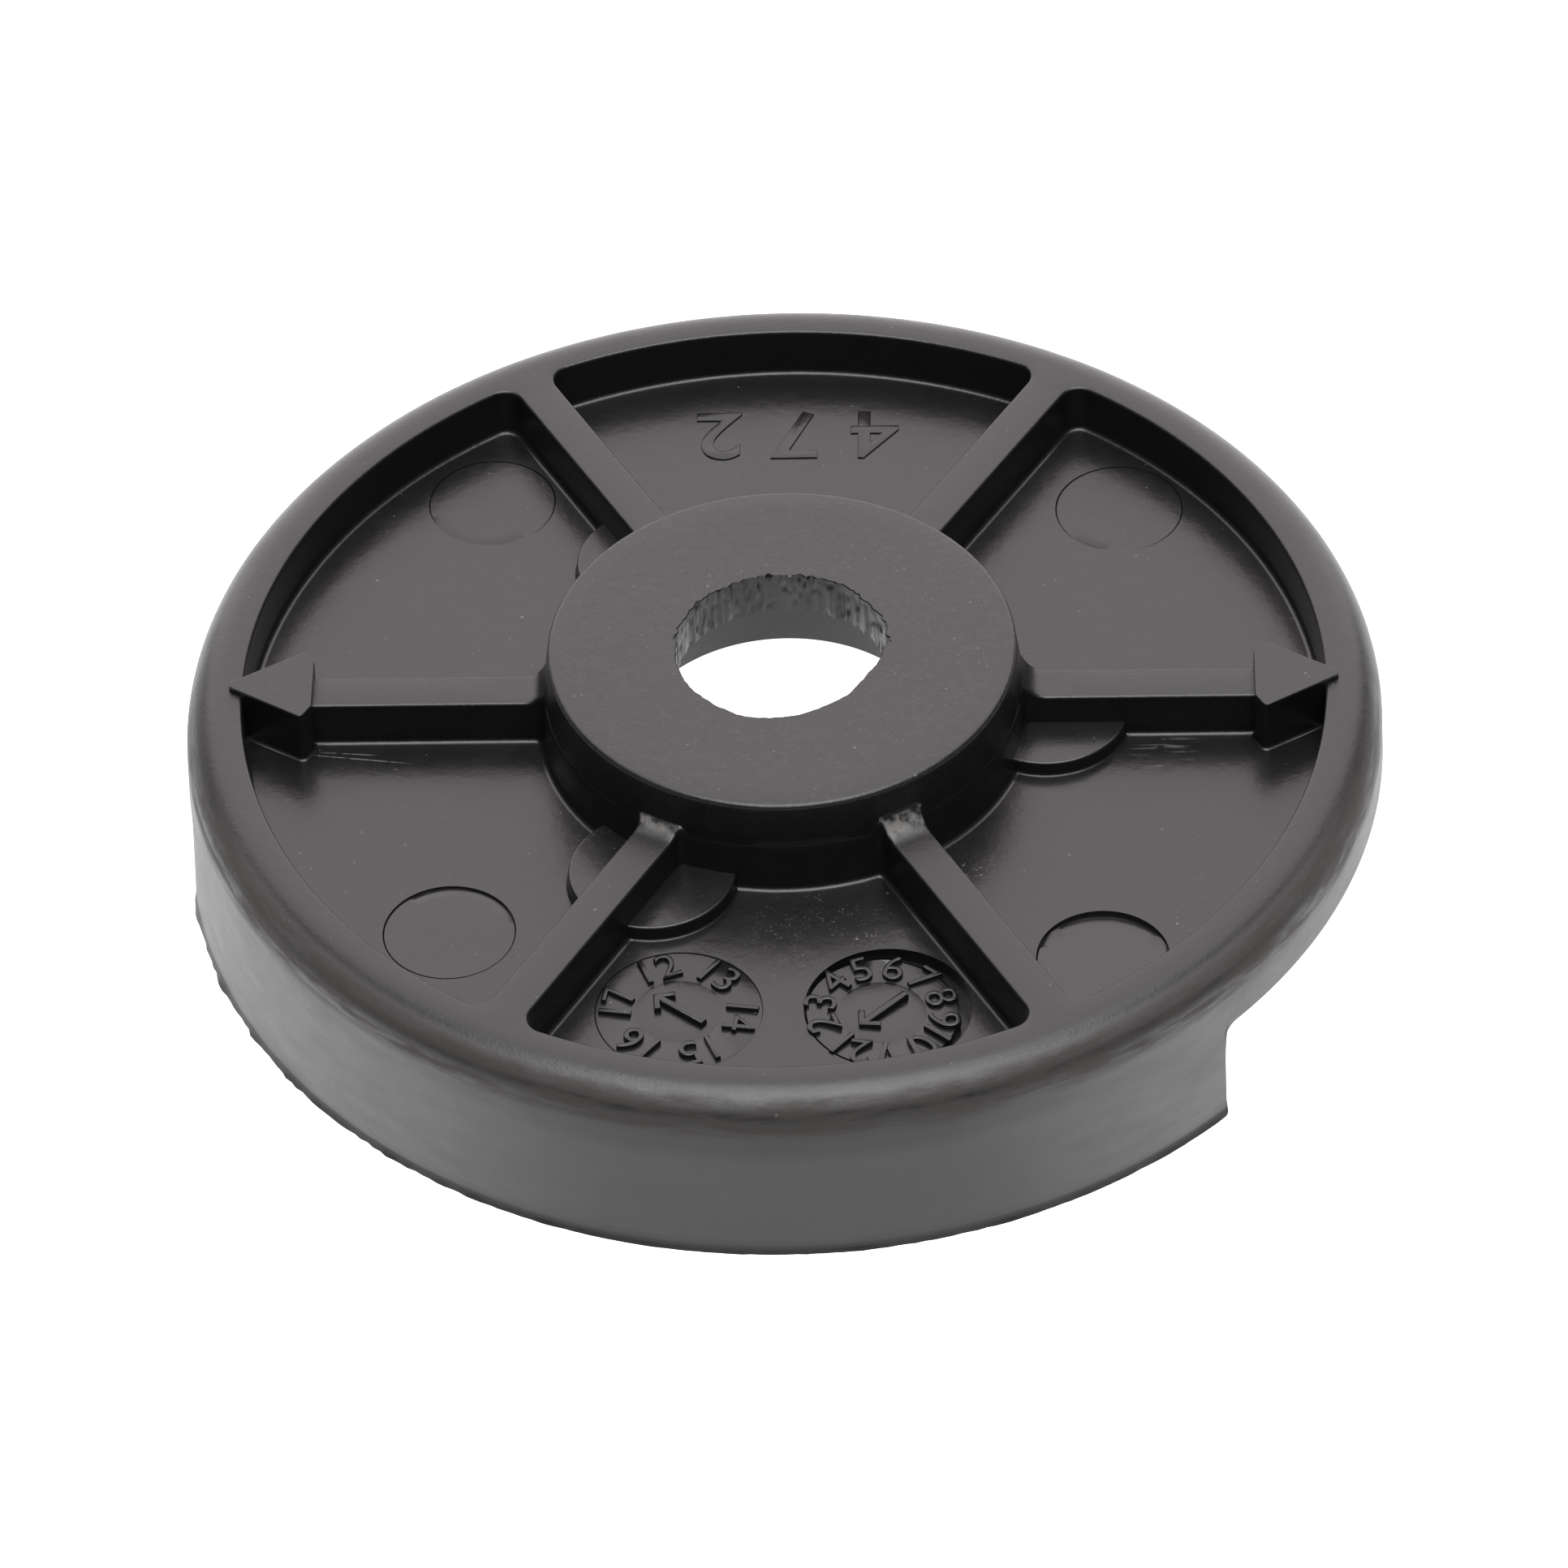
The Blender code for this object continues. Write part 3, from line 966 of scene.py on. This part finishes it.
class Graph:
    """A node material in millimetres, with short names for the nodes that it uses."""

    def __init__(self, name):
        self.material = bpy.data.materials.new(name)
        self.material.use_nodes = True
        self.nodes = self.material.node_tree.nodes
        self.links = self.material.node_tree.links
        self.shader = self.nodes["Principled BSDF"]
        coordinates = self.nodes.new("ShaderNodeTexCoord").outputs["Object"]
        self.place = self.vector("SCALE", coordinates, scale=1 / MM)
        split = self.nodes.new("ShaderNodeSeparateXYZ")
        self.links.new(self.place, split.inputs[0])
        self.x, self.y, self.z = split.outputs
        self.radius = self.vector("LENGTH", self.combine(self.x, self.y, 0), result="Value")
        facing = self.nodes.new("ShaderNodeSeparateXYZ")
        self.links.new(self.nodes.new("ShaderNodeNewGeometry").outputs["Normal"], facing.inputs[0])
        self.up = facing.outputs["Z"]

    def connect(self, value, socket):
        if isinstance(value, bpy.types.NodeSocket):
            self.links.new(value, socket)
        else:
            socket.default_value = value

    def vector(self, operation, one, other=None, scale=None, result="Vector"):
        node = self.nodes.new("ShaderNodeVectorMath")
        node.operation = operation
        self.connect(one, node.inputs[0])
        if other is not None:
            self.connect(other, node.inputs[1])
        if scale is not None:
            self.connect(scale, node.inputs["Scale"])
        return node.outputs[result]

    def combine(self, x, y, z):
        node = self.nodes.new("ShaderNodeCombineXYZ")
        for value, socket in zip((x, y, z), node.inputs):
            self.connect(value, socket)
        return node.outputs[0]

    def math(self, operation, one, other=0.0):
        node = self.nodes.new("ShaderNodeMath")
        node.operation = operation
        self.connect(one, node.inputs[0])
        self.connect(other, node.inputs[1])
        return node.outputs[0]

    def add(self, *values):
        total = values[0]
        for value in values[1:]:
            total = self.math("ADD", total, value)
        return total

    def times(self, *values):
        total = values[0]
        for value in values[1:]:
            total = self.math("MULTIPLY", total, value)
        return total

    def step(self, value, low, high, start=0.0, end=1.0):
        """Eases from start to end as value goes from low to high."""
        node = self.nodes.new("ShaderNodeMapRange")
        node.interpolation_type = "SMOOTHSTEP"
        self.connect(value, node.inputs["Value"])
        node.inputs["From Min"].default_value = low
        node.inputs["From Max"].default_value = high
        node.inputs["To Min"].default_value = start
        node.inputs["To Max"].default_value = end
        return node.outputs[0]

    def noise(self, scale, detail=3.0, place=None, rough=0.55):
        node = self.nodes.new("ShaderNodeTexNoise")
        self.connect(place or self.place, node.inputs["Vector"])
        node.inputs["Scale"].default_value = scale
        node.inputs["Detail"].default_value = detail
        node.inputs["Roughness"].default_value = rough
        return node.outputs["Fac"]

    def stretched(self, turn, along, across):
        """Coordinates turned about the upright and scaled, for streaks and scratches."""
        node = self.nodes.new("ShaderNodeMapping")
        self.connect(self.place, node.inputs["Vector"])
        node.inputs["Rotation"].default_value = (0, 0, math.radians(turn))
        node.inputs["Scale"].default_value = (along, across, 1)
        return node.outputs[0]

    def specks(self, scale, size, share):
        """Small round dots, one to a cell in a share of the cells."""
        node = self.nodes.new("ShaderNodeTexVoronoi")
        self.connect(self.place, node.inputs["Vector"])
        node.inputs["Scale"].default_value = scale
        dot = self.step(node.outputs["Distance"], size * 0.5, size, 1, 0)
        pick = self.nodes.new("ShaderNodeSeparateColor")
        self.links.new(node.outputs["Color"], pick.inputs[0])
        return self.times(dot, self.step(pick.outputs[0], 1 - share, 1 - share + 0.02))

    def mix(self, factor, one, other):
        node = self.nodes.new("ShaderNodeMix")
        node.data_type = "RGBA"
        self.connect(factor, node.inputs["Factor"])
        self.connect(one, node.inputs["A"])
        self.connect(other, node.inputs["B"])
        return node.outputs["Result"]

    def bump(self, height, distance, after=None):
        node = self.nodes.new("ShaderNodeBump")
        node.inputs["Strength"].default_value = 1
        node.inputs["Distance"].default_value = distance * MM
        self.connect(height, node.inputs["Height"])
        if after is not None:
            self.links.new(after, node.inputs["Normal"])
        return node.outputs[0]


def spot(g, x, y, radius, softness):
    """One inside a round patch of the top view, easing to zero over its edge."""
    offset = g.vector("SUBTRACT", g.combine(g.x, g.y, 0), (x, y, 0))
    return g.step(g.vector("LENGTH", offset, result="Value"), radius + softness, radius)


def scratch(g, x, y, turn, length, width):
    """One inside a thin straight line through a point, easing to zero at both ends."""
    cos, sin = polar(1, turn)
    along = g.add(g.times(g.x, cos), g.times(g.y, sin), -x * cos - y * sin)
    across = g.add(g.times(g.x, -sin), g.times(g.y, cos), x * sin - y * cos)
    inside = g.step(g.math("ABSOLUTE", along), length / 2, length / 4)
    return g.times(inside, g.step(g.math("ABSOLUTE", across), width, width / 3))


def dust_mask(g, cloud):
    """Specks on everything that faces up, and more of them in patches beside the hub."""
    upward = g.step(g.up, 0.3, 0.8)
    scattered = g.add(g.specks(2.2, 0.14, 0.1), g.specks(5.5, 0.2, 0.05))
    scattered = g.times(scattered, g.step(cloud, 0.42, 0.62), upward)
    patches = g.add(*[spot(g, *patch) for patch in DUST_PATCHES])
    settled = g.times(g.add(g.specks(7, 0.34, 0.3), g.specks(12, 0.4, 0.3)), patches)
    return g.add(scattered, g.times(settled, g.step(cloud, 0.4, 0.62), 0.6, upward))


def scuff_mask(g, floor):
    """Two scratches on the floor at the left, and a scuffed patch at the right."""
    scratches = g.add(*[scratch(g, *line) for line in SCRATCHES])
    streaks = g.step(g.noise(1, 3, g.stretched(3, 0.5, 8)), 0.56, 0.68)
    patch = g.times(spot(g, *SCUFF_PATCH), streaks, 0.7)
    return g.times(g.add(scratches, patch), floor, g.step(g.noise(3, 2), 0.3, 0.55))


def wear_mask(g, front):
    """Pale wear where the front ribs climb to the hub."""
    out = g.math("SUBTRACT", g.radius, HUB_SHOULDER_RADIUS)
    climb = g.times(g.step(g.z, RIM_TOP_Z + 0.02, RIM_TOP_Z + 0.16), g.step(out, 0.01, 0.07))
    climb = g.times(climb, g.step(g.up, 0.25, 0.6))
    return g.times(climb, g.step(out, 0.83, 0.43), front, g.step(g.noise(2.2, 4), 0.36, 0.6))


def grime_mask(g, around):
    """A dull, broken band on the front of the rim's round edge."""
    upper = g.step(g.z, RIM_TOP_Z - 1.6, RIM_TOP_Z - 1)
    round_edge = g.times(g.step(g.radius, RIM_RADIUS - 0.8, RIM_RADIUS - 0.3), upper)
    along_rim = g.noise(1, 5, g.combine(g.times(around, 0.45), g.times(g.z, 3.2), 0), 0.65)
    return g.times(round_edge, g.step(g.y, 4, -6), g.step(along_rim, 0.3, 0.62))


def side_mask(g, around, wall):
    """A streaky painted reflection that lightens the wall's left and right."""
    streak = g.noise(1, 5, g.combine(g.times(around, 0.4), g.times(g.z, 1.3), 0), 0.6)
    sides = g.times(g.step(g.math("ABSOLUTE", g.x), 4, 15), g.step(streak, 0.25, 0.75, 0.75, 1.25))
    return g.times(wall, g.times(sides, g.step(g.z, 0.18, 0.32)))


def acetal():
    """Black acetal: satin faces, glossier floors, painted reflection on the wall, a painted highlight on
    the rim's front edge, dust and wear.
    """
    g = Graph("black_acetal")
    floor = g.times(g.step(g.z, FLOOR_Z + 0.7, FLOOR_Z + 0.6), g.step(g.up, 0.8, 0.95))
    wall = g.times(g.step(g.radius, RIM_RADIUS - 0.35, RIM_RADIUS - 0.05), g.step(g.up, 0.5, 0.2))
    hub_face = g.step(g.z, HUB_TOP_Z - 0.1, HUB_TOP_Z - 0.03)
    front = g.step(g.y, -3, -9)
    blotch = g.noise(0.35, 4)
    cloud = g.noise(1.1, 5)
    around = g.times(g.math("ARCTAN2", g.x, g.times(g.y, -1)), RIM_RADIUS)
    dust = dust_mask(g, cloud)
    worn = wear_mask(g, front)
    grime = grime_mask(g, around)
    # Painted reflection: the wall below the rim's round edge is made lighter in colour
    wall_painted_reflection = g.times(wall, g.step(g.z, RIM_TOP_Z - 1.7, RIM_TOP_Z - 2.5), g.step(g.z, 0.18, 0.32))
    # Painted highlight: a lighter band high on the front of the rim's round edge
    corner = g.times(g.step(g.radius, RIM_RADIUS - 0.8, RIM_RADIUS - 0.55), front)
    corner = g.times(corner, g.step(g.z, RIM_TOP_Z - 0.62, RIM_TOP_Z - 0.4))
    mottle = g.times(hub_face, g.step(g.noise(4, 5, None, 0.7), 0.48, 0.68))
    dots = g.add(g.specks(4, 0.2, 0.16), g.specks(8, 0.24, 0.14))
    specks = g.times(hub_face, dots, g.step(cloud, 0.45, 0.6))
    layers = (
        (wall_painted_reflection, WALL_PAINTED_REFLECTION),
        (side_mask(g, around, wall), SIDE_PAINTED_REFLECTION),
        (corner, RIM_EDGE_PAINTED_HIGHLIGHT),
        (mottle, FACE_MOTTLE),
        (specks, FACE_SPECKS),
        (grime, GRIME),
        (dust, DUST),
        (scuff_mask(g, floor), SCUFFS),
        (worn, WEAR),
    )
    base = g.mix(cloud, DEEP_BLACK, SOFT_BLACK)
    for mask, (strength, colour) in layers:
        base = g.mix(g.times(mask, strength), base, colour)
    g.links.new(base, g.shader.inputs["Base Color"])
    rough = g.add(ACETAL_ROUGHNESS, g.times(floor, -0.11), g.times(wall, 0.1), g.times(grime, 0.28))
    rough = g.add(rough, g.times(g.math("SUBTRACT", blotch, 0.5), 0.12), g.times(dust, 0.3))
    rough = g.add(rough, g.times(g.math("SUBTRACT", cloud, 0.5), 0.1), g.times(worn, 0.2))
    g.links.new(rough, g.shader.inputs["Roughness"])
    g.shader.inputs["IOR"].default_value = ACETAL_IOR
    grain = g.times(g.noise(11, 2), g.add(1, g.times(floor, -0.7)))
    normal = g.bump(g.noise(3, 3), SWELL_RELIEF, g.bump(grain, GRAIN_RELIEF))
    g.links.new(normal, g.shader.inputs["Normal"])
    return g.material


def build_floor():
    """A plain white floor disc, lit from within like a light table."""
    bpy.ops.mesh.primitive_circle_add(vertices=96, radius=4, fill_type="NGON", location=(0, 0, LOW.z))
    floor = bpy.context.object
    floor.name = "floor"
    material = bpy.data.materials.new("white_floor")
    material.use_nodes = True
    shader = material.node_tree.nodes["Principled BSDF"]
    shader.inputs["Base Color"].default_value = (0.3, 0.3, 0.3, 1)
    shader.inputs["Roughness"].default_value = 0.9
    shader.inputs["Emission Color"].default_value = (1, 1, 1, 1)
    shader.inputs["Emission Strength"].default_value = FLOOR_GLOW
    floor.data.materials.append(material)


def softbox(name, elevation, azimuth, distance, width, height, radiance, tint):
    """A rectangular light that faces the disc, its strength given as radiance."""
    light = bpy.data.lights.new(name, "AREA")
    light.shape = "RECTANGLE"
    light.color = tint
    light.size = width
    light.size_y = height
    light.energy = radiance * math.pi * width * height
    lamp = new_object(name, light)
    x, y = polar(distance * math.cos(math.radians(elevation)), azimuth)
    lamp.location = (x, y, distance * math.sin(math.radians(elevation)))
    lamp.rotation_euler = (-lamp.location).to_track_quat("-Z", "Y").to_euler()
    lamp.visible_camera = False


def build_world():
    """White to the camera and dim to the disc, so that the softboxes shape its light."""
    world = bpy.data.worlds.new("studio")
    bpy.context.scene.world = world
    world.use_nodes = True
    tree = world.node_tree
    background = tree.nodes["Background"]
    rays = tree.nodes.new("ShaderNodeLightPath")
    mix = tree.nodes.new("ShaderNodeMix")
    mix.data_type = "RGBA"
    mix.inputs["A"].default_value = (DIM_ROOM, DIM_ROOM, DIM_ROOM, 1)
    mix.inputs["B"].default_value = (1, 1, 1, 1)
    tree.links.new(rays.outputs["Is Camera Ray"], mix.inputs["Factor"])
    tree.links.new(mix.outputs["Result"], background.inputs["Color"])


def build_camera():
    data = bpy.data.cameras.new("camera")
    data.lens = CAMERA_LENS
    data.sensor_width = CAMERA_SENSOR
    data.clip_start = 0.01
    camera = new_object("camera", data)
    level = math.radians(CAMERA_ELEVATION)
    x, y = polar(CAMERA_DISTANCE * math.cos(level), CAMERA_AZIMUTH)
    camera.location = Vector((x, y, RIM_TOP_Z + CAMERA_DISTANCE * math.sin(level))) * MM
    target = Vector((*CAMERA_AIM, RIM_TOP_Z)) * MM
    turn = (target - camera.location).to_track_quat("-Z", "Y")
    roll = Matrix.Rotation(math.radians(CAMERA_ROLL), 4, "Z")
    camera.matrix_world = Matrix.Translation(camera.location) @ turn.to_matrix().to_4x4() @ roll
    bpy.context.scene.camera = camera


def finish_piece(piece, material):
    piece.data.materials.clear()
    piece.data.materials.append(material)
    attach(piece, "root")


def main():
    material = acetal()
    disc = build_disc()
    finish_piece(disc, material)
    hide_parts("disc")
    years = build_dial_marks("year_dial_marks", DIALS[0], YEAR_LABELS, first_angle=112, pointer=142)
    months = build_dial_marks("month_dial_marks", DIALS[1], MONTH_LABELS, first_angle=230, pointer=225)
    for piece in (years, months, build_cavity_number()):
        smooth(piece)
        finish_piece(piece, material)
    build_floor()
    build_world()
    for name, settings in SOFTBOXES.items():
        softbox(name, *settings)
    build_camera()
    bpy.context.scene.view_settings.view_transform = "Standard"


main()
